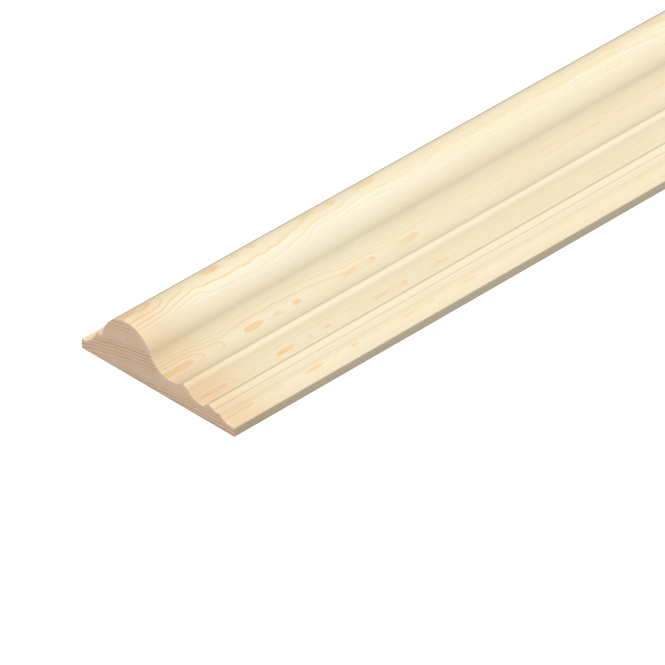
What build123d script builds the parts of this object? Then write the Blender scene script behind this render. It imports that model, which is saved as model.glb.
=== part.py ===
from build123d import *
from math import asin, atan2, cos, degrees, radians, sqrt
import os

# A dado rail of planed softwood: one length of moulding with the same section from end to end.
# It lies on its flat back. X runs along the rail, Y across it towards the edge that is uppermost
# on the wall, and Z away from the wall. The origin is the middle of the back.
# All sizes are in millimetres, and heights are measured from the back.

# The whole rail
rail_length = 2400.0
rail_width = 69.0
rail_thickness = 20.0

# Upper edge: a thin land, a cove that rises from it, and a level flat at the foot of the torus
upper_land_height = 3.6
upper_land_width = 1.4
upper_cove_width = 5.6
upper_cove_radius = 9.2
upper_flat_height = 9.55
upper_flat_width = 2.65

# Torus: the big round that gives the rail its thickness. It turns past its crest until it falls at
# ogee_slope (degrees from level), and there runs without a corner into the main cove.
torus_radius = 11.4
ogee_slope = 66.5

# Small ogee: it starts level at the arris where the main cove ends, and ends level on its floor
ogee_head_height = 8.95
ogee_floor_height = 5.0
ogee_width = 8.35
ogee_round_radius = 2.9
ogee_floor_width = 0.9

# Bead: a slanted riser climbs to its head, and a tiny quirk drops from its foot to the lower flat
riser_width = 2.3
bead_width = 2.4
bead_drop = 0.9
bead_radius = 6.0
quirk_depth = 0.12
lower_flat_height = 5.75
lower_flat_width = 2.6

# Lower edge: a cove that falls from the lower flat and runs level into a thin land
lower_cove_radius = 5.5
lower_land_height = 3.5
lower_land_width = 2.15

# Eased arrises: along the four edges of the board, on the heads of the small ogee and the bead, and
# along the crisp arrises beside the upper and lower flats
board_arris_radius = 0.4
head_arris_radius = 0.5
flat_arris_radius = 0.25

# Places across the rail, from the upper edge down to the torus
upper_edge_y = rail_width / 2
upper_cove_y = upper_edge_y - upper_land_width
upper_flat_y = upper_cove_y - upper_cove_width
torus_foot_y = upper_flat_y - upper_flat_width

# The torus stands on the upper flat, and its crest is the full thickness of the rail
torus_centre_height = rail_thickness - torus_radius
torus_foot_angle = degrees(asin((upper_flat_height - torus_centre_height) / torus_radius))
torus_centre_y = torus_foot_y - torus_radius * cos(radians(torus_foot_angle))
torus_turn = 90 + ogee_slope - torus_foot_angle

# Places across the rail, from the lower edge up to the arris above the small ogee
lower_edge_y = -rail_width / 2
lower_land_y = lower_edge_y + lower_land_width
lower_cove_fall = lower_flat_height - lower_land_height
lower_cove_width = sqrt(lower_cove_radius**2 - (lower_cove_radius - lower_cove_fall) ** 2)
lower_cove_y = lower_land_y + lower_cove_width
bead_foot_y = lower_cove_y + lower_flat_width
bead_head_y = bead_foot_y + bead_width
riser_foot_y = bead_head_y + riser_width
ogee_foot_y = riser_foot_y + ogee_floor_width
ogee_head_y = ogee_foot_y + ogee_width
bead_foot_height = lower_flat_height + quirk_depth
bead_head_height = bead_foot_height + bead_drop

# Two arcs that start and end level each turn by twice the slope of the line between their ends
ogee_turn = 2 * degrees(atan2(ogee_head_height - ogee_floor_height, ogee_width))

with BuildPart() as dado_rail:
    with BuildSketch(Plane.YZ) as section:
        # The outline goes round from the back, over the upper edge and the torus, to the lower edge
        with BuildLine() as outline:
            back = Line((lower_edge_y, 0), (upper_edge_y, 0))
            upper_edge = Line(back @ 1, (upper_edge_y, upper_land_height))
            upper_land = Line(upper_edge @ 1, (upper_cove_y, upper_land_height))
            upper_cove = RadiusArc(upper_land @ 1, (upper_flat_y, upper_flat_height), -upper_cove_radius)
            upper_flat = Line(upper_cove @ 1, (torus_foot_y, upper_flat_height))
            torus = CenterArc(
                (torus_centre_y, torus_centre_height), torus_radius, torus_foot_angle, torus_turn
            )
            main_cove = TangentArc(torus @ 1, (ogee_head_y, ogee_head_height), tangent=torus % 1)
            ogee_round = JernArc(main_cove @ 1, (-1, 0), ogee_round_radius, ogee_turn)
            ogee_hollow = TangentArc(
                ogee_round @ 1, (ogee_foot_y, ogee_floor_height), tangent=ogee_round % 1
            )
            ogee_floor = Line(ogee_hollow @ 1, (riser_foot_y, ogee_floor_height))
            riser = Line(ogee_floor @ 1, (bead_head_y, bead_head_height))
            bead = RadiusArc(riser @ 1, (bead_foot_y, bead_foot_height), bead_radius)
            quirk = Line(bead @ 1, (bead_foot_y, lower_flat_height))
            lower_flat = Line(quirk @ 1, (lower_cove_y, lower_flat_height))
            lower_cove = RadiusArc(lower_flat @ 1, (lower_land_y, lower_land_height), -lower_cove_radius)
            lower_land = Line(lower_cove @ 1, (lower_edge_y, lower_land_height))
            lower_edge = Line(lower_land @ 1, back @ 0)
        make_face()

        # The planer leaves every outward arris a little eased, and inner corners sharp
        for arris in (back @ 0, back @ 1, upper_edge @ 1, lower_edge @ 0):
            fillet(vertices().sort_by_distance(arris)[0], radius=board_arris_radius)
        for arris in (ogee_round @ 0, bead @ 0):
            fillet(vertices().sort_by_distance(arris)[0], radius=head_arris_radius)
        for arris in (upper_flat @ 0, lower_cove @ 0):
            fillet(vertices().sort_by_distance(arris)[0], radius=flat_arris_radius)
    extrude(amount=rail_length / 2, both=True)

dado_rail.part.label = "dado_rail"
os.makedirs("parts", exist_ok=True)
export_step(dado_rail.part, "parts/dado_rail.step")
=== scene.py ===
from math import asin, atan2, cos, pi, radians, sin, sqrt

import bmesh
import bpy
import numpy as np
from bpy.props import FloatProperty, FloatVectorProperty, IntProperty, PointerProperty
from mathutils import Euler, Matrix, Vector


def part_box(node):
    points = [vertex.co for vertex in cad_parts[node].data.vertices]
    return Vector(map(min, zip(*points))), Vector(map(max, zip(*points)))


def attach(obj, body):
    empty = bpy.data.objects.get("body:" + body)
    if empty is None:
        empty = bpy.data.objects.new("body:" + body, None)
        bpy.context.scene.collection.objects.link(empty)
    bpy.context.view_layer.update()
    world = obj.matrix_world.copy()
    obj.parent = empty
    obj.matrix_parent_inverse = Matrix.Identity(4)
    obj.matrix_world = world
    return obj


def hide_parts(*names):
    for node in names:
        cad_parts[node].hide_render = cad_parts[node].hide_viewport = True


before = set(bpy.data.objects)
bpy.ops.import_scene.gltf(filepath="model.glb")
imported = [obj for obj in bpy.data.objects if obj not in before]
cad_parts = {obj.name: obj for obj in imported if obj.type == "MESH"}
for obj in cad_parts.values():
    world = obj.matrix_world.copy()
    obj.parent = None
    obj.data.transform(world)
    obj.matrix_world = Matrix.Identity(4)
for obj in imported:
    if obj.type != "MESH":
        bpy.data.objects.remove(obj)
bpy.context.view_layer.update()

bl_info = {
    "name": "Pine Dado Rail",
    "version": (1, 0, 0),
    "blender": (4, 5, 0),
    "location": "3D View > Sidebar > Dado Rail",
    "description": "Makes a length of planed pine dado rail and the stage it is shown on",
    "category": "Add Mesh",
}

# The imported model: its box gives the rail's overall sizes, in metres
NODE = "dado_rail"
LOW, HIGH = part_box(NODE)

# The photograph's frame, in pixels, and the width of the camera's sensor, in millimetres
FRAME_PIXELS = 665
SENSOR_MM = 36.0

# How finely curves are divided
ARC_STEP = radians(4.5)
LINE_STEP = 0.0006
EASED_POINTS = 4
EASED_STATIONS = 4

# Points closer than this are joined, and faces that meet at more than this angle keep their edge
WELD_DISTANCE = 1e-6
SHARP_ANGLE = radians(28.0)

# The floor as the camera sees it: its own colour, and how much it glows
FLOOR_COLOUR = (0.8, 0.8, 0.8, 1.0)
FLOOR_GLOW = 0.5
WHITE = (1.0, 1.0, 1.0, 1.0)


def length(name, description, metres):
    """A length property, in metres."""
    return FloatProperty(
        name=name, description=description, default=metres, unit="LENGTH", precision=5
    )


def angle(name, description, degrees):
    """An angle property, stated in degrees and held in radians."""
    return FloatProperty(
        name=name, description=description, default=radians(degrees), unit="ROTATION"
    )


def number(name, description, value):
    """A plain number property."""
    return FloatProperty(name=name, description=description, default=value, precision=4)


def linear(*shades):
    """A colour as the shaders take it, from its red, green and blue shades of 0 to 255 on the screen."""
    values = np.array(shades) / 255.0
    low = values / 12.92
    high = ((values + 0.055) / 1.055) ** 2.4
    return tuple(float(value) for value in np.where(values <= 0.04045, low, high))


def colour(name, description, *shades):
    """A colour property, stated in the shades of 0 to 255 that show on the screen."""
    return FloatVectorProperty(
        name=name, description=description, default=linear(*shades), size=3,
        subtype="COLOR", min=0.0, max=1.0,
    )


class RailSection(bpy.types.PropertyGroup):
    """Sizes of the rail and of the members of its moulded section."""

    rail_length: length("Length", "Length of the rail", HIGH.x - LOW.x)
    rail_width: length("Width", "Width of the flat back", HIGH.y - LOW.y)
    rail_thickness: length("Thickness", "Height of the torus above the back", HIGH.z - LOW.z)
    upper_land_height: length("Upper land height", "Thickness of the upper edge", 0.0036)
    upper_land_width: length("Upper land width", "Flat beside the upper edge", 0.0014)
    upper_cove_width: length("Upper cove width", "Width of the cove beside it", 0.0056)
    upper_cove_radius: length("Upper cove radius", "Radius of that cove", 0.0092)
    upper_flat_height: length("Upper flat height", "Height of the flat under the torus", 0.00955)
    upper_flat_width: length("Upper flat width", "Width of that flat", 0.00265)
    torus_radius: length("Torus radius", "Radius of the big round", 0.0114)
    ogee_slope: angle("Ogee slope", "Steepest fall between the torus and the main cove", 66.5)
    ogee_head_height: length("Ogee head height", "Height of the arris over the small ogee", 0.00895)
    ogee_floor_height: length("Ogee floor height", "Height of the small ogee's floor", 0.005)
    ogee_width: length("Ogee width", "Width of the small ogee's two arcs", 0.00835)
    ogee_round_radius: length("Ogee round radius", "Radius of its rounded arc", 0.0029)
    ogee_floor_width: length("Ogee floor width", "Flat at the foot of the small ogee", 0.0009)
    riser_width: length("Riser width", "Run of the slanted riser under the bead", 0.0023)
    bead_width: length("Bead width", "Width of the bead", 0.0024)
    bead_drop: length("Bead drop", "Fall of the bead from head to foot", 0.0009)
    bead_radius: length("Bead radius", "Radius of the bead", 0.006)
    quirk_depth: length("Quirk depth", "Small step at the foot of the bead", 0.00012)
    lower_flat_height: length("Lower flat height", "Height of the flat below the bead", 0.00575)
    lower_flat_width: length("Lower flat width", "Width of that flat", 0.0026)
    lower_cove_radius: length("Lower cove radius", "Radius of the cove by the lower edge", 0.0055)
    lower_land_height: length("Lower land height", "Thickness of the lower edge", 0.0035)
    lower_land_width: length("Lower land width", "Flat beside the lower edge", 0.00215)
    board_arris: length("Board arris", "Radius of the four edges of the board", 0.0004)
    head_arris: length("Head arris", "Radius of the arrises over the ogee and the bead", 0.0005)
    flat_arris: length("Flat arris", "Radius of the arrises beside the flats", 0.00025)
    sawn_arris: length("Sawn arris", "How much the sawn ends are eased", 0.0002)
    near_pitch: length("Near pitch", "Spacing of the mesh along the figured end", 0.0022)
    far_pitch: length("Far pitch", "Spacing of the mesh along the rest", 0.024)
    figured_length: length("Figured length", "Length of the finely meshed end", 0.22)
    end_rows: IntProperty(name="End rows", description="Rows of mesh down a sawn end", default=6)


class PineFinish(bpy.types.PropertyGroup):
    """Colours and figure of planed pine."""

    early_colour: colour("Early wood", "Pale wood at the start of a year's ring", 251, 245, 222)
    mid_colour: colour("Mid wood", "Cream wood in the middle of a ring", 250, 236, 204)
    late_colour: colour("Late wood", "Orange lines at the end of a ring", 247, 215, 152)
    island_colour: colour("Islands", "Deeper orange of the figure's islands", 250, 208, 152)
    near_tint: colour("End tint", "Warmer tint of the wood by the near end", 240, 202, 156)
    edge_colour: colour("Sawn end", "Cross-cut wood between its rings", 244, 213, 183)
    ring_colour: colour("End rings", "Dark lines of the rings on a cross-cut end", 206, 166, 132)
    ring_bend: length("Ring bend", "Half width of the round tops of the figure", 0.0188)
    ring_width: length("Ring width", "Spacing of the rings across the figure", 0.0013)
    end_ring_width: length("End ring width", "Spacing of the rings on the sawn ends", 0.00125)
    pith_across: length("Pith across", "Place of the tree's centre along Y", -0.032)
    pith_depth: length("Pith depth", "Depth of the tree's centre under the back", 0.21)
    # Painted shade: how much the colour is darkened in hollows, by how closed the outline is around them
    hollow_shade_depth: number("Hollow depth", "How much darker the wood is in deep hollows", 0.9)
    ring_wander: number("Ring wander", "How far noise moves the rings, in rings", 0.34)
    fibre_wander: number("Fibre wander", "How far the fibres ruffle the rings, in rings", 0.12)
    line_start: number("Line start", "Share of a ring at which its orange line starts", 0.64)
    line_full: number("Line full", "Share of a ring at which that line is full", 0.90)
    thin_lines: number("Thin lines", "How many thin lines each ring has", 3.3)
    thin_strength: number("Thin line strength", "How orange the thin lines are", 0.42)
    roughness: number("Roughness", "Roughness of planed wood", 0.62)
    sheen_level: number("Gloss", "How glossy planed wood is", 0.15)
    relief: length("Relief", "Height of the raised grain", 0.00002)


class StudioStage(bpy.types.PropertyGroup):
    """Camera, lamps and floor."""

    camera_heading: angle("Heading", "Direction in which the camera looks, from +X", 45.01)
    camera_fall: angle("Fall", "How far down the camera looks", 34.857)
    camera_distance: length("Distance", "Depth of the near corner from the camera", 3.00749)
    corner_across: number("Corner across", "Near corner's place in the photograph, in pixels", 234.47)
    corner_down: number("Corner down", "Near corner's place in the photograph, in pixels", 437.39)
    focal_pixels: number("Focal length", "The lens, in pixels of the photograph", 9640.5)
    key_strength: number("Key strength", "Light that the key lamp gives a level face", 0.50)
    key_lean: number("Key lean", "Lean of the key light towards -Y, as a tangent", 0.47)
    key_turn: number("Key turn", "Lean of the key light towards -X, as a tangent", 0.72)
    key_softness: angle("Key softness", "Width of the key lamp as the rail sees it", 28.0)
    sky_strength: number("Sky strength", "Light from all round", 0.50)
    floor_size: length("Floor size", "Side of the square floor", 30.0)
    floor_bounce: number("Floor bounce", "How much light the floor sends back", 0.04)


def shorter_arc(start, end, radius):
    """The shorter arc between two points.

    Its centre is the middle of the chord, moved off it by the root of radius squared less half
    the chord squared: to the left of the chord for a positive radius, else to the right.
    """
    start, end = np.array(start), np.array(end)
    chord = end - start
    half = np.hypot(*chord) / 2
    left = np.array([-chord[1], chord[0]]) / (2 * half)
    centre = (start + end) / 2 + np.sign(radius) * left * sqrt(radius**2 - half**2)
    first = atan2(*(start - centre)[::-1])
    turn = np.sign(radius) * 2 * asin(half / abs(radius))
    return circle_points(centre, abs(radius), first, turn)


def circle_points(centre, radius, first, turn):
    """Points of an arc: centre + radius * (cos a, sin a), with a going from first through turn."""
    steps = max(2, int(abs(turn) / ARC_STEP) + 1)
    a = first + turn * np.linspace(0, 1, steps + 1)
    return np.array(centre) + radius * np.column_stack((np.cos(a), np.sin(a)))


def tangent_arc(start, heading, end):
    """The arc that leaves start along heading (an angle) and reaches end.

    It turns by twice the angle t between heading and chord, and its radius is the chord over
    twice the sine of t.
    """
    start, end = np.array(start), np.array(end)
    chord = end - start
    t = (atan2(chord[1], chord[0]) - heading + pi) % (2 * pi) - pi
    return shorter_arc(start, end, np.hypot(*chord) / (2 * sin(t)))


def divide(points):
    """A polyline whose steps are all at most LINE_STEP long, with its own points kept."""
    along = np.concatenate(([0], np.cumsum(np.hypot(*np.diff(points, axis=0).T))))
    counts = np.ceil(np.diff(along) / LINE_STEP).astype(int)
    steps = [np.linspace(a, b, n + 1)[:-1] for a, b, n in zip(along, along[1:], counts)]
    places = np.concatenate(steps + [along[-1:]])
    return np.column_stack([np.interp(places, along, points[:, i]) for i in (0, 1)])


def cut(points, distance):
    """A polyline without its first stretch of the given length."""
    along = np.concatenate(([0], np.cumsum(np.hypot(*np.diff(points, axis=0).T))))
    first = [np.interp(distance, along, points[:, i]) for i in (0, 1)]
    return np.vstack((first, points[along > distance * 1.001]))


def ease(before, after, radius):
    """Two polylines that meet in a corner, with the corner eased.

    Both are cut back by radius times the tangent of half the turn. Between the cuts goes the
    parabola (1-t)^2 p + 2 t (1-t) c + t^2 q, where c is where the cut ends' directions cross.
    """
    inward = before[-1] - before[-2]
    outward = after[1] - after[0]
    turn = atan2(inward[0] * outward[1] - inward[1] * outward[0], inward @ outward)
    back = radius * abs(sin(turn / 2) / cos(turn / 2))
    before, after = cut(before[::-1], back)[::-1], cut(after, back)
    p, q = before[-1], after[0]
    reach = np.linalg.solve(np.column_stack((p - before[-2], after[1] - q)), q - p)
    c = p + reach[0] * (p - before[-2])
    t = np.linspace(0, 1, EASED_POINTS + 2)[1:-1, None]
    bend = (1 - t) ** 2 * p + 2 * t * (1 - t) * c + t**2 * q
    return before, np.vstack((p, bend, q)), after


def front_members(s):
    """The moulded face as a list of polylines in (Y, Z), from the upper edge to the lower edge.

    The same arcs and straight lines as the CAD section, in metres.
    """
    upper_y = s.rail_width / 2
    cove_y = upper_y - s.upper_land_width
    flat_y = cove_y - s.upper_cove_width
    foot_y = flat_y - s.upper_flat_width
    centre_z = s.rail_thickness - s.torus_radius
    foot_angle = asin((s.upper_flat_height - centre_z) / s.torus_radius)
    centre_y = foot_y - s.torus_radius * cos(foot_angle)

    lower_y = -s.rail_width / 2
    land_y = lower_y + s.lower_land_width
    fall = s.lower_flat_height - s.lower_land_height
    lower_cove_y = land_y + sqrt(s.lower_cove_radius**2 - (s.lower_cove_radius - fall) ** 2)
    bead_foot = (lower_cove_y + s.lower_flat_width, s.lower_flat_height + s.quirk_depth)
    bead_head = (bead_foot[0] + s.bead_width, bead_foot[1] + s.bead_drop)
    riser_foot = (bead_head[0] + s.riser_width, s.ogee_floor_height)
    ogee_foot = (riser_foot[0] + s.ogee_floor_width, s.ogee_floor_height)
    ogee_head = (ogee_foot[0] + s.ogee_width, s.ogee_head_height)
    ogee_turn = 2 * atan2(s.ogee_head_height - s.ogee_floor_height, s.ogee_width)

    torus = circle_points(
        (centre_y, centre_z), s.torus_radius, foot_angle, pi / 2 + s.ogee_slope - foot_angle
    )
    main_cove = tangent_arc(torus[-1], pi + s.ogee_slope, ogee_head)
    ogee_round = circle_points(
        (ogee_head[0], ogee_head[1] - s.ogee_round_radius), s.ogee_round_radius, pi / 2, ogee_turn
    )
    ogee_hollow = tangent_arc(ogee_round[-1], pi + ogee_turn, ogee_foot)

    lines = {
        "upper_edge": [(upper_y, s.upper_land_height / 2), (upper_y, s.upper_land_height)],
        "upper_land": [(upper_y, s.upper_land_height), (cove_y, s.upper_land_height)],
        "upper_cove": shorter_arc(
            (cove_y, s.upper_land_height), (flat_y, s.upper_flat_height), -s.upper_cove_radius
        ),
        "upper_flat": [(flat_y, s.upper_flat_height), (foot_y, s.upper_flat_height)],
        "torus": torus,
        "main_cove": main_cove,
        "ogee_round": ogee_round,
        "ogee_hollow": ogee_hollow,
        "ogee_floor": [ogee_foot, riser_foot],
        "riser": [riser_foot, bead_head],
        "bead": shorter_arc(bead_head, bead_foot, s.bead_radius),
        "quirk": [bead_foot, (bead_foot[0], s.lower_flat_height)],
        "lower_flat": [(bead_foot[0], s.lower_flat_height), (lower_cove_y, s.lower_flat_height)],
        "lower_cove": shorter_arc(
            (lower_cove_y, s.lower_flat_height), (land_y, s.lower_land_height), -s.lower_cove_radius
        ),
        "lower_land": [(land_y, s.lower_land_height), (lower_y, s.lower_land_height)],
        "lower_edge": [(lower_y, s.lower_land_height), (lower_y, s.lower_land_height / 2)],
    }
    return {name: divide(np.array(points)) for name, points in lines.items()}


# Each eased arris: the members before and after it, and which radius it takes
EASED = (
    ("upper_edge", "upper_land", "board_arris"),
    ("upper_cove", "upper_flat", "flat_arris"),
    ("main_cove", "ogee_round", "head_arris"),
    ("riser", "bead", "head_arris"),
    ("lower_flat", "lower_cove", "flat_arris"),
    ("lower_land", "lower_edge", "board_arris"),
)


def front_line(s):
    """The moulded face as one polyline, and the distance along it at which each member starts."""
    members = front_members(s)
    bends = {}
    for before, after, radius in EASED:
        members[before], bends[after], members[after] = ease(
            members[before], members[after], getattr(s, radius)
        )
    points, starts = [], {}
    for name, line in members.items():
        if name in bends:
            points.extend(bends[name][:-1])
        starts[name] = len(points)
        points.extend(line[:-1])
    points.append(line[-1])
    points = np.array(points)
    along = np.concatenate(([0], np.cumsum(np.hypot(*np.diff(points, axis=0).T))))
    return points, {name: along[index] for name, index in starts.items()}, along


def back_line(s, front):
    """The flat back as a polyline with one point for each point of the front.

    Points have the front's Y and a height of 0, apart from the ends, which follow the edges and
    their eased arrises: an arc of angle a about (edge less radius, radius).
    """
    half = s.rail_width / 2
    r = s.board_arris
    y = front[:, 0].copy()
    z = np.zeros_like(y)
    inner = np.abs(y) < half - r
    first, last = np.flatnonzero(inner)[[0, -1]]
    for part, side, middle in (
        (slice(0, first), 1.0, front[0, 1]),
        (slice(last + 1, None), -1.0, front[-1, 1]),
    ):
        count = len(y[part])
        rise = np.linspace(0, 1, count) if side > 0 else np.linspace(1, 0, count)
        edge = np.minimum(rise * 2, 1)
        a = np.maximum(rise * 2 - 1, 0) * pi / 2 * count / (count + 1)
        y[part] = side * (half - r + r * np.cos(a))
        z[part] = (middle * (1 - edge) + r * edge) - r * np.sin(a)
    return np.column_stack((y, z))


def outward(ring):
    """Unit normals of a closed outline that runs anticlockwise: the chord turned a quarter right."""
    chord = np.roll(ring, -1, axis=0) - np.roll(ring, 1, axis=0)
    normal = np.column_stack((chord[:, 1], -chord[:, 0]))
    return normal / np.hypot(*normal.T)[:, None]


def openness(ring):
    """How open each point of a closed outline is: 1 where nothing rises beside it.

    It is the mean of the cosines of the highest angles, above the tangent at the point, at which
    the outline rises on either side.
    """
    normal = outward(ring)
    tangent = np.column_stack((-normal[:, 1], normal[:, 0]))
    reach = ring[None] - ring[:, None]
    up = (reach * normal[:, None]).sum(-1)
    along = (reach * tangent[:, None]).sum(-1)
    above = np.maximum(up, 0)
    near = np.hypot(up, along) < 1e-5
    forward = np.where((along > 0) & ~near, np.arctan2(above, along), 0).max(1)
    backward = np.where((along < 0) & ~near, np.arctan2(above, -along), 0).max(1)
    return (np.cos(forward) + np.cos(backward)) / 2


def stations(s):
    """Places along the rail, from the near end, and how far the outline draws in at each.

    The pitch is fine along the figured end and coarse along the rest. At both ends the outline
    draws in along a quarter circle: sawn_arris * (1 - sin a) at a distance of
    sawn_arris * (1 - cos a).
    """
    r = s.sawn_arris
    a = np.linspace(0, pi / 2, EASED_STATIONS)
    near = r * (1 - np.cos(a))
    fine = np.arange(r + s.near_pitch, s.figured_length, s.near_pitch)
    count = int((s.rail_length - s.figured_length) / s.far_pitch)
    coarse = np.linspace(s.figured_length, s.rail_length - r, count)[:-1]
    far = s.rail_length - near[::-1]
    place = np.concatenate((near, fine, coarse, far))
    inset = np.zeros_like(place)
    inset[:EASED_STATIONS] = r * (1 - np.sin(a))
    inset[-EASED_STATIONS:] = inset[:EASED_STATIONS][::-1]
    return place, inset


# The figure of the wood across the section. Each entry is a member, a share of the way over it,
# the distance in metres from the middle of the nearest run of round-topped figure, and how
# strongly the figure shows there. Between entries both change evenly. The same figure shows
# narrower on a narrow member.
FIGURE_ACROSS = (
    ("upper_edge", 0.0, 0.018, 0.8), ("upper_cove", 0.2, 0.010, 0.8), ("upper_cove", 0.6, 0.0, 0.8),
    ("upper_flat", 0.0, 0.006, 0.8), ("torus", 0.0, 0.0155, 1.0), ("torus", 0.45, 0.0, 1.0),
    ("torus", 0.635, 0.0058, 1.0), ("torus", 0.72, 0.0082, 1.0), ("torus", 0.80, 0.0103, 1.0),
    ("torus", 0.88, 0.0125, 1.0), ("torus", 1.0, 0.017, 1.0),
    ("main_cove", 0.0, 0.0125, 0.8), ("main_cove", 0.22, 0.0085, 0.8),
    ("main_cove", 0.33, 0.0058, 1.0), ("main_cove", 0.51, 0.0, 1.0),
    ("main_cove", 0.60, 0.0027, 0.6), ("main_cove", 0.66, 0.0045, 0.2),
    ("main_cove", 1.0, 0.0125, 0.06), ("ogee_hollow", 0.0, 0.0125, 0.1),
    ("ogee_hollow", 0.36, 0.0058, 0.6), ("ogee_hollow", 0.55, 0.0017, 0.9),
    ("ogee_hollow", 0.665, 0.0, 0.9), ("ogee_hollow", 0.78, 0.0017, 0.9),
    ("ogee_hollow", 0.93, 0.0055, 0.4), ("ogee_floor", 1.0, 0.0125, 0.05),
    ("lower_flat", 1.0, 0.0125, 0.05), ("lower_cove", 0.22, 0.0058, 0.5),
    ("lower_cove", 0.33, 0.0017, 0.8), ("lower_cove", 0.44, 0.0, 0.8),
    ("lower_cove", 0.57, 0.0017, 0.8), ("lower_cove", 0.72, 0.0058, 0.4),
    ("lower_land", 0.0, 0.0125, 0.3), ("lower_edge", 1.0, 0.0165, 0.8),
)

# How strongly the orange lines, and the pale bands beside them, show at distances in metres from
# the middle of the figure
LINE_FADE = (
    (0.0, 0.35), (0.0022, 0.40), (0.0048, 0.75), (0.0076, 0.66), (0.0086, 0.42), (0.0098, 0.22),
    (0.0112, 0.10), (0.0130, 0.05), (0.0180, 0.25),
)
BAND_FADE = ((0.0, 0.7), (0.0050, 0.7), (0.0070, 0.65), (0.0100, 0.3), (0.0125, 0.0))

# The same for the thin lines between the rings, and their strength at distances from the near end
FINE_FADE = (
    (0.0, 0.35), (0.0030, 0.6), (0.0060, 0.9), (0.0105, 0.8), (0.0125, 0.35), (0.0170, 0.15),
)
FINE_STRENGTH = ((0.0, 0.1), (0.100, 0.15), (0.125, 0.6), (0.150, 0.9), (0.200, 0.9))

# How pale the wood is all over, at shares of the way over a member. Mostly this is the wood's own
# colour, but the paler band on the torus where it faces the key lamp is a painted highlight.
PALE_AND_HIGHLIGHT_ACROSS = (
    ("upper_edge", 0.0, 0.8), ("upper_flat", 1.0, 0.8), ("torus", 0.30, 0.0),
    ("torus", 0.38, -0.4), ("torus", 0.53, -0.3), ("torus", 0.59, 0.2), ("torus", 0.65, 0.55),
    ("torus", 0.75, 0.55), ("torus", 0.9, 0.15),
    ("main_cove", 0.3, 0.1), ("main_cove", 0.5, 0.1), ("main_cove", 0.7, 0.3),
    ("ogee_round", 0.0, 0.1), ("ogee_hollow", 0.3, -0.1), ("ogee_hollow", 0.8, -0.15),
    ("ogee_floor", 0.0, 0.0), ("lower_land", 1.0, 0.0),
)
# Painted light and shade at the same shares: a number that multiplies the wood's colour. It paints a
# shadow on the torus's back flank, darkest (0.6) a third of the way over it. It lightens the quirk and
# the upper land, darkens the edges, and lightens or darkens the coves and rounds a little.
PAINTED_LIGHT_ACROSS = (
    ("upper_edge", 0.0, 0.9), ("upper_land", 0.0, 1.12), ("upper_flat", 1.0, 1.08),
    ("torus", 0.34, 0.60), ("torus", 0.39, 0.94), ("torus", 0.44, 1.0), ("torus", 0.82, 1.0),
    ("torus", 0.90, 1.03), ("torus", 0.965, 1.02), ("torus", 1.0, 0.975),
    ("main_cove", 0.05, 1.02), ("main_cove", 0.15, 1.015), ("main_cove", 0.3, 0.988),
    ("main_cove", 0.55, 1.0), ("main_cove", 0.8, 1.045), ("main_cove", 0.87, 1.053),
    ("main_cove", 0.93, 0.995), ("main_cove", 1.0, 0.98), ("ogee_round", 0.1, 0.98),
    ("ogee_round", 0.33, 0.995), ("ogee_round", 0.5, 1.015), ("ogee_round", 0.65, 1.012),
    ("ogee_round", 0.95, 0.985), ("ogee_hollow", 0.3, 0.97), ("ogee_hollow", 0.7, 0.97),
    ("ogee_floor", 0.5, 1.04), ("riser", 0.0, 1.0), ("bead", 0.2, 0.98), ("bead", 0.7, 1.0),
    ("bead", 1.0, 0.95), ("quirk", 0.3, 1.35), ("lower_flat", 0.02, 1.18),
    ("lower_flat", 0.3, 0.99), ("lower_land", 0.6, 0.99), ("lower_edge", 0.0, 0.86),
    ("lower_edge", 1.0, 0.84),
)

# The rings along the rail: distance from the near end in metres, the height of the rings under
# the middle of the figure, in rings, and how closely the rings crowd. A whole height puts the
# dark end of a ring in the surface.
RINGS_ALONG = (
    (0.000, 0.00, 2.2), (0.006, -0.12, 2.2), (0.012, -0.35, 2.2), (0.018, -0.85, 2.2),
    (0.0235, -1.45, 2.2), (0.0275, -2.06, 1.9), (0.031, -2.20, 1.1), (0.045, -2.20, 1.0),
    (0.051, -2.12, 1.0), (0.057, -2.22, 1.0), (0.063, -2.34, 1.0), (0.075, -2.50, 1.4),
    (0.080, -2.78, 2.0), (0.0825, -2.90, 2.2), (0.086, -2.76, 2.2), (0.0905, -2.75, 2.2),
    (0.0935, -2.84, 2.2), (0.0955, -3.12, 2.2), (0.098, -3.45, 2.0), (0.105, -3.75, 2.0),
    (0.110, -3.85, 1.7), (0.113, -3.93, 1.4), (0.115, -4.05, 1.2), (0.120, -4.20, 0.9),
    (0.130, -4.32, 0.9), (0.137, -4.46, 1.0), (0.143, -4.56, 1.2), (0.150, -4.42, 1.0),
    (0.160, -4.36, 0.95), (0.166, -4.44, 1.0), (0.172, -4.55, 1.2), (0.178, -4.52, 1.15),
    (0.184, -4.42, 1.0), (0.190, -4.36, 0.95), (0.196, -4.34, 0.9),
    (0.204, -4.42, 1.0), (0.212, -4.36, 0.95), (0.222, -4.40, 0.95),
)

# Islands of figure: distance from the near end, half length, the lift of the rings there, and how
# much stronger the orange shows. ISLAND_REACH is how far they reach across, in metres.
ISLANDS = (
    (0.0025, 0.0050, 0.22, 1.0), (0.0110, 0.0045, 0.50, 1.0), (0.0190, 0.0021, -0.28, 0.0),
    (0.0395, 0.0050, 0.36, 0.6), (0.0500, 0.0020, 0.22, 0.2), (0.0583, 0.0021, 0.34, 0.45),
    (0.0635, 0.0015, 0.34, 0.25), (0.0820, 0.0035, 0.0, 0.4), (0.0937, 0.0020, 0.0, 0.5),
    (0.1100, 0.0045, 0.0, 0.45),
)
ISLAND_REACH = 0.0065

# Beyond the last ring of the table the heights follow slow waves (seed, shortest and longest wave,
# size), which rise over one distance, and the rings crowd more by CROWD_GAIN over another
RING_WAVES = (3, 0.09, 0.6, 1.6)
WAVES_RISE = 0.05
CROWD_RISE = 0.3
CROWD_GAIN = 0.4

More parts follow.
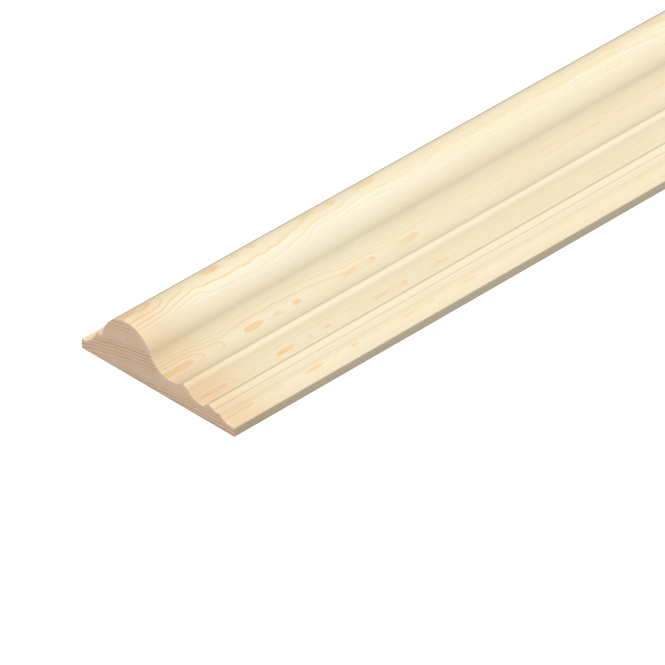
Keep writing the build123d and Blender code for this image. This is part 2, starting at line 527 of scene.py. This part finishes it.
# How strongly the figure shows at distances from the near end, and the slow waves of it beyond
FIGURE_STRENGTH = (
    (0.0, 1.8), (0.022, 1.5), (0.032, 1.15), (0.060, 1.05), (0.112, 0.95), (0.125, 0.40),
    (0.140, 0.45), (0.170, 0.50), (0.185, 0.65), (0.200, 0.7),
)
STRENGTH_WAVES = (8, 0.2, 0.9, 0.16)
STRENGTH_RISE = 0.1
LEAST_STRENGTH = 0.1

# Warmer wood by the near end: how warm, how far it reaches, and how much more on the sawn arris
WARMTH = 0.5
WARM_REACH = 0.020
ARRIS_WARMTH = 0.2

# The back's numbers are those that figure gives, but its distance grows evenly, times BACK_SPREAD,
# on both sides of a line at BACK_MIDDLE along Y. The sawn ends have no figure and no painted light
# or shade: their painted light is 1 and their openness 1.
BACK_FIGURE = (0.0, 0.6, 0.6, 0.4, 0.2, 1.0)
BACK_MIDDLE = 0.008
BACK_SPREAD = 0.47
END_FIGURE = (0.0, 0.0, 0.0, 0.0, 0.0, 1.0, 1.0)


def smooth_steps(place, knots):
    """A curve through knots (place, value) that is level at each: cosine steps between them."""
    at, value = np.array(knots).T
    index = np.clip(np.searchsorted(at, place, side="right") - 1, 0, len(at) - 2)
    t = np.clip((place - at[index]) / (at[index + 1] - at[index]), 0, 1)
    return value[index] + (value[index + 1] - value[index]) * (3 * t**2 - 2 * t**3)


def slow_waves(place, seed, shortest, longest, size):
    """A sum of cosines with seeded phases, whose wavelengths run from shortest to longest."""
    draw = np.random.RandomState(seed)
    waves = np.geomspace(shortest, longest, 9)
    phases = draw.uniform(0, 2 * pi, len(waves))
    heights = np.sqrt(waves / longest)
    curves = heights * np.cos(2 * pi * place[..., None] / waves + phases)
    return size * curves.sum(-1) / np.sqrt((heights**2).sum())


def ring_number(finish, place, distance):
    """Number of the ring at a place along the rail, and how much stronger the islands make it.

    It is (root of (distance^2 + bend^2), less bend) / width, times the crowding, less the height
    of the rings. Height and crowding follow the chosen table by the near end, and run into slow
    waves beyond it. Each island takes away its lift times exp(-(d / half length)^4) along the
    rail and times exp(-(distance / reach)^2) across it.
    """
    table = np.array(RINGS_ALONG)
    last = table[-1, 0]
    beyond = np.clip((place - last) / WAVES_RISE, 0, 1)
    waves = slow_waves(place, *RING_WAVES) - slow_waves(np.array([last]), *RING_WAVES)
    heights = smooth_steps(place, table[:, :2]) + waves * beyond
    more = beyond * np.clip((place - last) / CROWD_RISE, 0, 1) * CROWD_GAIN
    crowd = smooth_steps(place, table[:, ::2]) + more
    bend, width = finish.ring_bend, finish.ring_width
    number = (np.sqrt(distance**2 + bend**2) - bend) / width * crowd - heights
    near = np.exp(-((distance / ISLAND_REACH) ** 2))
    stronger = np.zeros_like(number)
    for at, half, lift, strength in ISLANDS:
        island = np.exp(-(((place - at) / half) ** 4)) * near
        number = number - lift * island
        stronger = stronger + strength * island
    return number, stronger


def across(starts, along, table, column=2):
    """A column of a table of members and shares, at each point of the front line."""
    names = list(starts)
    ends = dict(zip(names, [starts[name] for name in names[1:]] + [along[-1]]))
    at = [starts[entry[0]] + entry[1] * (ends[entry[0]] - starts[entry[0]]) for entry in table]
    return np.interp(along, at, [entry[column] for entry in table])


def figure(starts, along):
    """Six numbers for each point of the front line.

    They are the distance from the middle of the figure, the strength of its lines, of its pale bands and
    of its thin lines, how pale the wood is (on the torus partly a painted highlight), and the painted
    light and shade.
    """
    distance = across(starts, along, FIGURE_ACROSS)
    strength = across(starts, along, FIGURE_ACROSS, 3)
    lines, bands, fine = (
        strength * np.interp(distance, *np.array(fade).T)
        for fade in (LINE_FADE, BAND_FADE, FINE_FADE)
    )
    pale, light = (across(starts, along, table) for table in (PALE_AND_HIGHLIGHT_ACROSS, PAINTED_LIGHT_ACROSS))
    return np.column_stack((distance, lines, bands, fine, pale, light))


def quads(rows, columns, first=0, flip=False):
    """Corner numbers of the faces of a grid of rows by columns, numbered along each row."""
    corner = first + np.arange((rows - 1) * columns).reshape(rows - 1, columns)[:, :-1].ravel()
    faces = np.column_stack((corner, corner + 1, corner + columns + 1, corner + columns))
    return faces[:, ::-1] if flip else faces


def make_rail(s):
    """The whole rail as one closed mesh.

    The sides carry the closed outline along the rail: point (i, k) is outline point k, drawn in
    along its own normal by the inset of station i, at the place of station i. Each sawn end is a
    grid: point (t, k) is (1 - t) times front point k plus t times back point k. With the points
    and faces come each point's figure, openness and place along the rail, and how many of the
    last faces are the sawn ends'.
    """
    front, starts, along = front_line(s)
    back = back_line(s, front)
    inner_back = back[-2:0:-1]
    ring = np.vstack((front, inner_back))
    front_figure = figure(starts, along)
    back_figure = np.tile(BACK_FIGURE, (len(inner_back), 1))
    back_figure[:, 0] = BACK_SPREAD * np.abs(inner_back[:, 0] - BACK_MIDDLE)
    in_edge = np.abs(inner_back[:, 0]) > s.rail_width / 2 - s.board_arris
    back_figure[in_edge] = front_figure[-1]
    # The last column, openness, sets how much the material darkens the colour in hollows: painted shade
    ring_figure = np.column_stack((np.vstack((front_figure, back_figure)), openness(ring)))
    normal = outward(ring)
    place, inset = stations(s)

    drawn = ring[None] - inset[:, None, None] * normal[None]
    x = np.broadcast_to(place[:, None] - s.rail_length / 2, drawn.shape[:2])
    sides = np.dstack((x, drawn)).reshape(-1, 3)
    wrap = np.arange(len(ring) + 1) % len(ring)
    side_faces = quads(len(place), len(ring) + 1)
    row, column = np.divmod(side_faces, len(ring) + 1)
    side_faces = row * len(ring) + wrap[column]

    points, faces = [sides], [side_faces]
    figures = [np.tile(ring_figure, (len(place), 1))]
    places = [np.repeat(place, len(ring))]
    count = len(sides)
    n = len(front)
    t = np.linspace(0, 1, s.end_rows)[:, None, None]
    for end, flip in ((0, False), (-1, True)):
        outline = drawn[end]
        top = outline[:n]
        bottom = np.vstack((outline[:1], outline[n:][::-1], outline[n - 1 : n]))
        grid = (1 - t) * top + t * bottom
        flat = grid.reshape(-1, 2)
        x_end = np.full((len(flat), 1), place[end] - s.rail_length / 2)
        points.append(np.hstack((x_end, flat)))
        faces.append(quads(s.end_rows, n, count, flip))
        figures.append(np.tile(END_FIGURE, (len(flat), 1)))
        places.append(np.full(len(flat), place[end]))
        count += len(flat)
    ends = len(faces[1]) + len(faces[2])
    return np.vstack(points), np.vstack(faces), np.vstack(figures), np.concatenate(places), ends


def surface_numbers(s, finish, figures, place):
    """The numbers that the planed wood's material reads, at each point of the mesh.

    Past the tables the figure's strength changes by slow waves, and is never under its least.
    Islands strengthen the lines, thin lines weaken the pale bands, and the warmth of the near end
    is WARMTH times exp(-(place / reach)^2), and more on its sawn arris.
    """
    distance, lines, bands, fine, pale, light, shelter = figures.T
    rings, stronger = ring_number(finish, place, distance)
    strong = np.interp(place, *np.array(FIGURE_STRENGTH).T)
    beyond = np.clip((place - FIGURE_STRENGTH[-1][0]) / STRENGTH_RISE, 0, 1)
    strong = np.maximum(strong + beyond * slow_waves(place, *STRENGTH_WAVES), LEAST_STRENGTH)
    thin = np.interp(place, *np.array(FINE_STRENGTH).T)
    arris = place < s.sawn_arris * 0.99
    return {
        "ring_number": rings,
        "openness": shelter,
        "line_strength": strong * lines + stronger * np.minimum(lines * 2.5, 1),
        "band_strength": np.minimum(strong + 0.2, 0.9) * (1 - thin * 0.55) * bands,
        "fine_strength": thin * fine,
        "island": np.minimum(stronger * 1.6, 1),
        "pale_and_painted_highlight": pale,
        "painted_light_and_shade": light,
        "end_warmth": WARMTH * np.exp(-((place / WARM_REACH) ** 2)) + ARRIS_WARMTH * arris,
    }


def new_mesh(name, points, faces):
    """A mesh object at the origin, from arrays of points and four-cornered faces."""
    mesh = bpy.data.meshes.new(name)
    mesh.vertices.add(len(points))
    mesh.vertices.foreach_set("co", points.ravel())
    mesh.loops.add(faces.size)
    mesh.loops.foreach_set("vertex_index", faces.ravel().astype(np.int32))
    mesh.polygons.add(len(faces))
    mesh.polygons.foreach_set("loop_start", np.arange(len(faces), dtype=np.int32) * faces.shape[1])
    mesh.update(calc_edges=True)
    mesh.validate()
    piece = bpy.data.objects.new(name, mesh)
    bpy.context.scene.collection.objects.link(piece)
    return piece


def store(mesh, name, values):
    """Keeps one number for each point of a mesh, for its materials to read."""
    mesh.attributes.new(name, "FLOAT", "POINT").data.foreach_set("value", values.astype(np.float32))


class Signal:
    """A number or colour that changes over a surface: one output of a shader node.

    Python's operators work on it, and each adds a Math node to its tree.
    """

    def __init__(self, paint, output):
        self.paint = paint
        self.output = output

    def maths(self, operation, *values):
        """The output of a new Math node."""
        return self.paint.node("ShaderNodeMath", {"operation": operation}, values)

    def __add__(self, other):
        return self.maths("ADD", self, other)

    def __sub__(self, other):
        return self.maths("SUBTRACT", self, other)

    def __rsub__(self, other):
        return self.maths("SUBTRACT", other, self)

    def __mul__(self, other):
        return self.maths("MULTIPLY", self, other)

    def __truediv__(self, other):
        return self.maths("DIVIDE", self, other)

    def __rtruediv__(self, other):
        return self.maths("DIVIDE", other, self)

    __radd__ = __add__
    __rmul__ = __mul__

    def fraction(self):
        """What the signal has above its whole number."""
        return self.maths("FRACT", self)

    def whole(self):
        """The signal rounded down."""
        return self.maths("FLOOR", self)

    def root(self):
        """The signal's square root."""
        return self.maths("SQRT", self)

    def limited(self):
        """The signal kept from 0 to 1."""
        return self.maths("MAXIMUM", self.maths("MINIMUM", self, 1.0), 0.0)

    def step(self, low, high):
        """0 below low and 1 above high, with a smooth rise between."""
        settings = {"interpolation_type": "SMOOTHSTEP"}
        return self.paint.node(
            "ShaderNodeMapRange", settings, {0: self, 1: low, 2: high, 3: 0.0, 4: 1.0}
        )


class Paint:
    """The node tree of one material or of the world."""

    def __init__(self, owner):
        owner.use_nodes = True
        self.tree = owner.node_tree
        self.tree.nodes.clear()

    def node(self, kind, settings=None, sockets=(), output=0):
        """Adds a node: its settings are set first, then the values or links of its sockets."""
        node = self.tree.nodes.new(kind)
        for name, value in (settings or {}).items():
            setattr(node, name, value)
        pairs = sockets.items() if isinstance(sockets, dict) else enumerate(sockets)
        for key, value in pairs:
            if isinstance(value, Signal):
                self.tree.links.new(value.output, node.inputs[key])
            else:
                node.inputs[key].default_value = value
        return Signal(self, node.outputs[output]) if len(node.outputs) else None

    def place(self):
        """Object coordinates, in metres."""
        return self.node("ShaderNodeTexCoord", output="Object")

    def split(self, vector):
        """The X, Y and Z of a vector."""
        axes = self.node("ShaderNodeSeparateXYZ", sockets=(vector,)).output.node.outputs
        return [Signal(self, axis) for axis in axes]

    def wave(self, signal):
        """The cosine of a signal."""
        return signal.maths("COSINE", signal)

    def stored(self, name):
        """A number kept on the mesh."""
        return self.node("ShaderNodeAttribute", {"attribute_name": name}, output="Fac")

    def stretch(self, vector, x, y, z):
        """A vector with each of its parts multiplied."""
        return self.node("ShaderNodeVectorMath", {"operation": "MULTIPLY"}, (vector, (x, y, z)))

    def noise(self, vector, scale, detail=2.0, roughness=0.5):
        """Smooth noise about 0, from -0.5 to 0.5."""
        sockets = {"Vector": vector, "Scale": scale, "Detail": detail, "Roughness": roughness}
        return self.node("ShaderNodeTexNoise", sockets=sockets) - 0.5

    def mix(self, share, first, second):
        """A colour: first where share is 0 and second where it is 1."""
        settings = {"data_type": "RGBA"}
        colours = [c if isinstance(c, Signal) else (*c, 1.0) for c in (first, second)]
        sockets = {0: share, 6: colours[0], 7: colours[1]}
        return self.node("ShaderNodeMix", settings, sockets, output=2)

    def shade(self, colours, amount):
        """A colour made lighter or darker: multiplied by a number."""
        settings = {"operation": "SCALE"}
        return self.node("ShaderNodeVectorMath", settings, {0: colours, "Scale": amount})

    def surface(self, colours, roughness, gloss, height, distance):
        """Ends the tree in a Principled shader with a bump."""
        bump = self.node("ShaderNodeBump", sockets={"Distance": distance, "Height": height})
        sockets = {
            "Base Color": colours, "Roughness": roughness, "Specular IOR Level": gloss, "Normal": bump,
        }
        shader = self.node("ShaderNodeBsdfPrincipled", sockets=sockets)
        self.node("ShaderNodeOutputMaterial", sockets=(shader,))


def planed_pine(finish):
    """Flat-sawn pine off the planer: round-topped figure from rings that lie nearly level, with painted
    shade in hollows and painted light and shade across the section.
    """
    material = bpy.data.materials.new("planed_pine")
    paint = Paint(material)
    place = paint.place()
    fibre = paint.noise(paint.stretch(place, 70.0, 2400.0, 2400.0), 1.0, 3.0, 0.65)
    wander = paint.noise(paint.stretch(place, 110.0, 240.0, 240.0), 1.0, 3.0) * finish.ring_wander
    rings = paint.stored("ring_number") + wander + fibre * finish.fibre_wander
    season = rings.fraction()
    late = season.step(finish.line_start, finish.line_full) * (1 - season.step(0.96, 1.0))
    good_years = paint.wave(rings.whole() * 0.9 - 1.1) * 0.25 + 0.75
    patches = paint.noise(paint.stretch(place, 170.0, 560.0, 560.0), 1.0, 3.0, 0.6) * 1.3 + 0.9
    late = late * good_years * (patches + fibre * 1.2) * paint.stored("line_strength")

    # Thin lines between the rings, and slow changes of tone
    ripple = paint.noise(paint.stretch(place, 120.0, 420.0, 420.0), 1.0, 2.0) * 1.3
    thin = (rings * finish.thin_lines + ripple).fraction()
    thin = thin.step(0.35, 0.65) * (1 - thin.step(0.75, 1.0)) * paint.stored("fine_strength")
    tone = paint.noise(paint.stretch(place, 14.0, 90.0, 90.0), 1.0, 3.0, 0.6)
    strand = paint.noise(paint.stretch(place, 420.0, 1500.0, 1500.0), 1.0, 2.0, 0.7)

    bands = (1 - season.step(0.0, 0.5)) * paint.stored("band_strength")
    streaks = paint.wave(rings * 19.0 + 1.0) * (paint.stored("band_strength") * 0.25 + 0.02)
    pale = (bands + streaks + paint.stored("pale_and_painted_highlight") + tone * 1.5).limited()
    wood = paint.mix(pale, finish.mid_colour, finish.early_colour)
    warmth = paint.stored("end_warmth")
    wood = paint.mix(warmth, wood, finish.near_tint)
    orange = paint.mix(paint.stored("island"), finish.late_colour, finish.island_colour)
    orange = paint.shade(orange, 1 - warmth * 0.18)
    wood = paint.mix(thin * finish.thin_strength, wood, finish.late_colour)
    wood = paint.mix(late.limited(), wood, orange)
    # Painted shade in hollows: the colour darkens where the outline closes in around a point
    painted_hollow_shade = 1 - (1 - paint.stored("openness")) * finish.hollow_shade_depth
    # Tone from the fibres and strands, times the painted shade in hollows and the painted light and
    # shade across the section
    light = (1 + fibre * 0.15 + strand * 0.07) * painted_hollow_shade * paint.stored("painted_light_and_shade")
    wood = paint.shade(wood, light)
    rough = finish.roughness - late * 0.08 + fibre * 0.1
    relief = late * 0.6 + fibre * 0.5
    paint.surface(wood, rough, finish.sheen_level, relief, finish.relief)
    return material


def sawn_pine(finish):
    """Cross-cut pine: arcs of the year rings about the tree's centre, pores and saw marks."""
    material = bpy.data.materials.new("sawn_pine")
    paint = Paint(material)
    place = paint.place()
    y, z = paint.split(place)[1:]
    y = y - finish.pith_across
    z = z + finish.pith_depth
    wander = paint.noise(paint.stretch(place, 0.0, 190.0, 420.0), 1.0, 3.0, 0.6) * 1.0
    rings = (y * y + z * z).root() / finish.end_ring_width + wander
    season = rings.fraction()
    luck = paint.node("ShaderNodeTexWhiteNoise", {"noise_dimensions": "1D"}, {"W": rings.whole()})
    hard_years = paint.wave(rings.whole() * 0.7 - 4.87) * 0.4 + 0.45
    late = season.step(0.30, 0.78) * (1 - season.step(0.84, 1.0)) * hard_years * (luck * 0.7 + 0.6)
    pores = paint.noise(paint.stretch(place, 1.0, 1500.0, 1900.0), 1.0, 4.0, 0.75)
    tone = paint.noise(paint.stretch(place, 1.0, 130.0, 160.0), 1.0, 2.0)
    wood = paint.mix(late, finish.edge_colour, finish.ring_colour)
    wood = paint.shade(wood, 1 + pores * 0.25 + tone * 0.17)
    saw = paint.noise(paint.stretch(place, 1.0, 150.0, 1900.0), 1.0, 1.0)
    relief = pores * 0.8 + saw * 0.6 + late * 0.4
    rough = 0.85 + pores * 0.1
    paint.surface(wood, rough, 0.15, relief, finish.relief * 2)
    return material


class DADORAIL_OT_rail(bpy.types.Operator):
    """Make the moulded rail in planed pine, with its sawn ends"""

    bl_idname = "dado_rail.rail"
    bl_label = "Make Rail"

    def execute(self, context):
        s = context.scene.rail_section
        finish = context.scene.pine_finish
        points, faces, figures, place, ends = make_rail(s)
        rail = new_mesh("pine_dado_rail", points, faces)
        mesh = rail.data
        for name, values in surface_numbers(s, finish, figures, place).items():
            store(mesh, name, values)
        mesh.materials.append(planed_pine(finish))
        mesh.materials.append(sawn_pine(finish))
        slots = np.zeros(len(mesh.polygons), dtype=np.int32)
        slots[-ends:] = 1
        mesh.polygons.foreach_set("material_index", slots)
        weld(mesh)
        mesh.shade_smooth()
        mesh.set_sharp_from_angle(angle=SHARP_ANGLE)
        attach(rail, "root")
        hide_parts(NODE)
        return {"FINISHED"}


def weld(mesh):
    """Joins points that lie together, so that sides and ends make one closed surface."""
    shape = bmesh.new()
    shape.from_mesh(mesh)
    bmesh.ops.remove_doubles(shape, verts=shape.verts, dist=WELD_DISTANCE)
    bmesh.ops.dissolve_degenerate(shape, edges=shape.edges, dist=WELD_DISTANCE)
    bmesh.ops.recalc_face_normals(shape, faces=shape.faces)
    shape.to_mesh(mesh)
    shape.free()


class DADORAIL_OT_stage(bpy.types.Operator):
    """Set the camera, the lamps, the floor and the white surround"""

    bl_idname = "dado_rail.stage"
    bl_label = "Set Stage"

    def execute(self, context):
        stage = context.scene.studio_stage
        section = context.scene.rail_section
        self.set_camera(context, stage, section)
        self.set_floor(stage)
        self.set_lamps(context, stage)
        context.scene.view_settings.view_transform = "Standard"
        return {"FINISHED"}

    def set_camera(self, context, stage, section):
        """The camera stands where the near bottom corner falls on its pixel of the photograph."""
        data = bpy.data.cameras.new("camera")
        data.sensor_width = SENSOR_MM
        data.lens = SENSOR_MM * stage.focal_pixels / FRAME_PIXELS
        data.clip_start = 0.1
        data.clip_end = 200.0
        camera = bpy.data.objects.new("camera", data)
        turn = Euler((pi / 2 - stage.camera_fall, 0, stage.camera_heading - pi / 2))
        middle = FRAME_PIXELS / 2
        ray = Vector((
            (stage.corner_across - middle) / stage.focal_pixels,
            (middle - stage.corner_down) / stage.focal_pixels,
            -1,
        ))
        ray.rotate(turn)
        corner = Vector((-section.rail_length / 2, -section.rail_width / 2, 0))
        camera.location = corner - ray * stage.camera_distance
        camera.rotation_euler = turn
        context.scene.collection.objects.link(camera)
        context.scene.camera = camera

    def set_floor(self, stage):
        """A pale level floor. The camera sees it white, with the rail's shadow on it."""
        half = stage.floor_size / 2
        points = np.array([(-half, -half, 0), (half, -half, 0), (half, half, 0), (-half, half, 0)])
        floor = new_mesh("floor", points, np.array([[0, 1, 2, 3]]))
        material = bpy.data.materials.new("floor_white")
        paint = Paint(material)
        seen = sees_surround(paint)
        bounce = stage.floor_bounce
        matt = paint.node("ShaderNodeBsdfDiffuse", sockets={"Color": (bounce, bounce, bounce, 1.0)})
        lit = paint.node("ShaderNodeBsdfDiffuse", sockets={"Color": FLOOR_COLOUR})
        glow = paint.node("ShaderNodeEmission", sockets={"Color": WHITE, "Strength": FLOOR_GLOW})
        white = paint.node("ShaderNodeAddShader", sockets=(lit, glow))
        both = paint.node("ShaderNodeMixShader", sockets=(seen, matt, white))
        paint.node("ShaderNodeOutputMaterial", sockets=(both,))
        floor.data.materials.append(material)

    def set_lamps(self, context, stage):
        """One soft key lamp, and an even sky, which the camera sees white."""
        lamp = bpy.data.lights.new("key", "SUN")
        towards = Vector((-stage.key_turn, -stage.key_lean, 1))
        lamp.energy = stage.key_strength * pi * towards.length
        lamp.angle = stage.key_softness
        key = bpy.data.objects.new("key", lamp)
        key.rotation_euler = towards.to_track_quat("Z", "Y").to_euler()
        context.scene.collection.objects.link(key)
        world = bpy.data.worlds.new("surround")
        context.scene.world = world
        paint = Paint(world)
        seen = sees_surround(paint)
        strength = seen + (1 - seen) * stage.sky_strength
        sky = paint.node("ShaderNodeBackground", sockets={"Color": WHITE, "Strength": strength})
        paint.node("ShaderNodeOutputWorld", sockets=(sky,))


def sees_surround(paint):
    """1 for a ray from the camera, or for one that a shiny or clear surface sends on."""
    rays = paint.node("ShaderNodeLightPath").output.node.outputs
    camera, glossy, clear = (
        Signal(paint, rays[name])
        for name in ("Is Camera Ray", "Is Glossy Ray", "Is Transmission Ray")
    )
    return camera.maths("MAXIMUM", camera.maths("MAXIMUM", camera, glossy), clear)


class DADORAIL_PT_panel(bpy.types.Panel):
    """Panel that lists the makers of the rail and its stage"""

    bl_idname = "DADORAIL_PT_panel"
    bl_label = "Dado Rail"
    bl_space_type = "VIEW_3D"
    bl_region_type = "UI"
    bl_category = "Dado Rail"

    def draw(self, context):
        for operator in OPERATORS:
            self.layout.operator(operator.bl_idname)
        for name in SETTINGS:
            group = getattr(context.scene, name)
            box = self.layout.box()
            for prop in group.__annotations__:
                box.prop(group, prop)


OPERATORS = (DADORAIL_OT_rail, DADORAIL_OT_stage)
SETTINGS = {"rail_section": RailSection, "pine_finish": PineFinish, "studio_stage": StudioStage}


def register():
    """Registers the settings, the makers and the panel."""
    for group in SETTINGS.values():
        bpy.utils.register_class(group)
    for name, group in SETTINGS.items():
        setattr(bpy.types.Scene, name, PointerProperty(type=group))
    for operator in OPERATORS:
        bpy.utils.register_class(operator)
    bpy.utils.register_class(DADORAIL_PT_panel)


def unregister():
    """Takes away what register adds."""
    bpy.utils.unregister_class(DADORAIL_PT_panel)
    for operator in reversed(OPERATORS):
        bpy.utils.unregister_class(operator)
    for name in SETTINGS:
        delattr(bpy.types.Scene, name)
    for group in reversed(list(SETTINGS.values())):
        bpy.utils.unregister_class(group)


def main():
    """Makes the rail and its stage."""
    register()
    bpy.ops.dado_rail.rail()
    bpy.ops.dado_rail.stage()


if __name__ == "__main__":
    main()
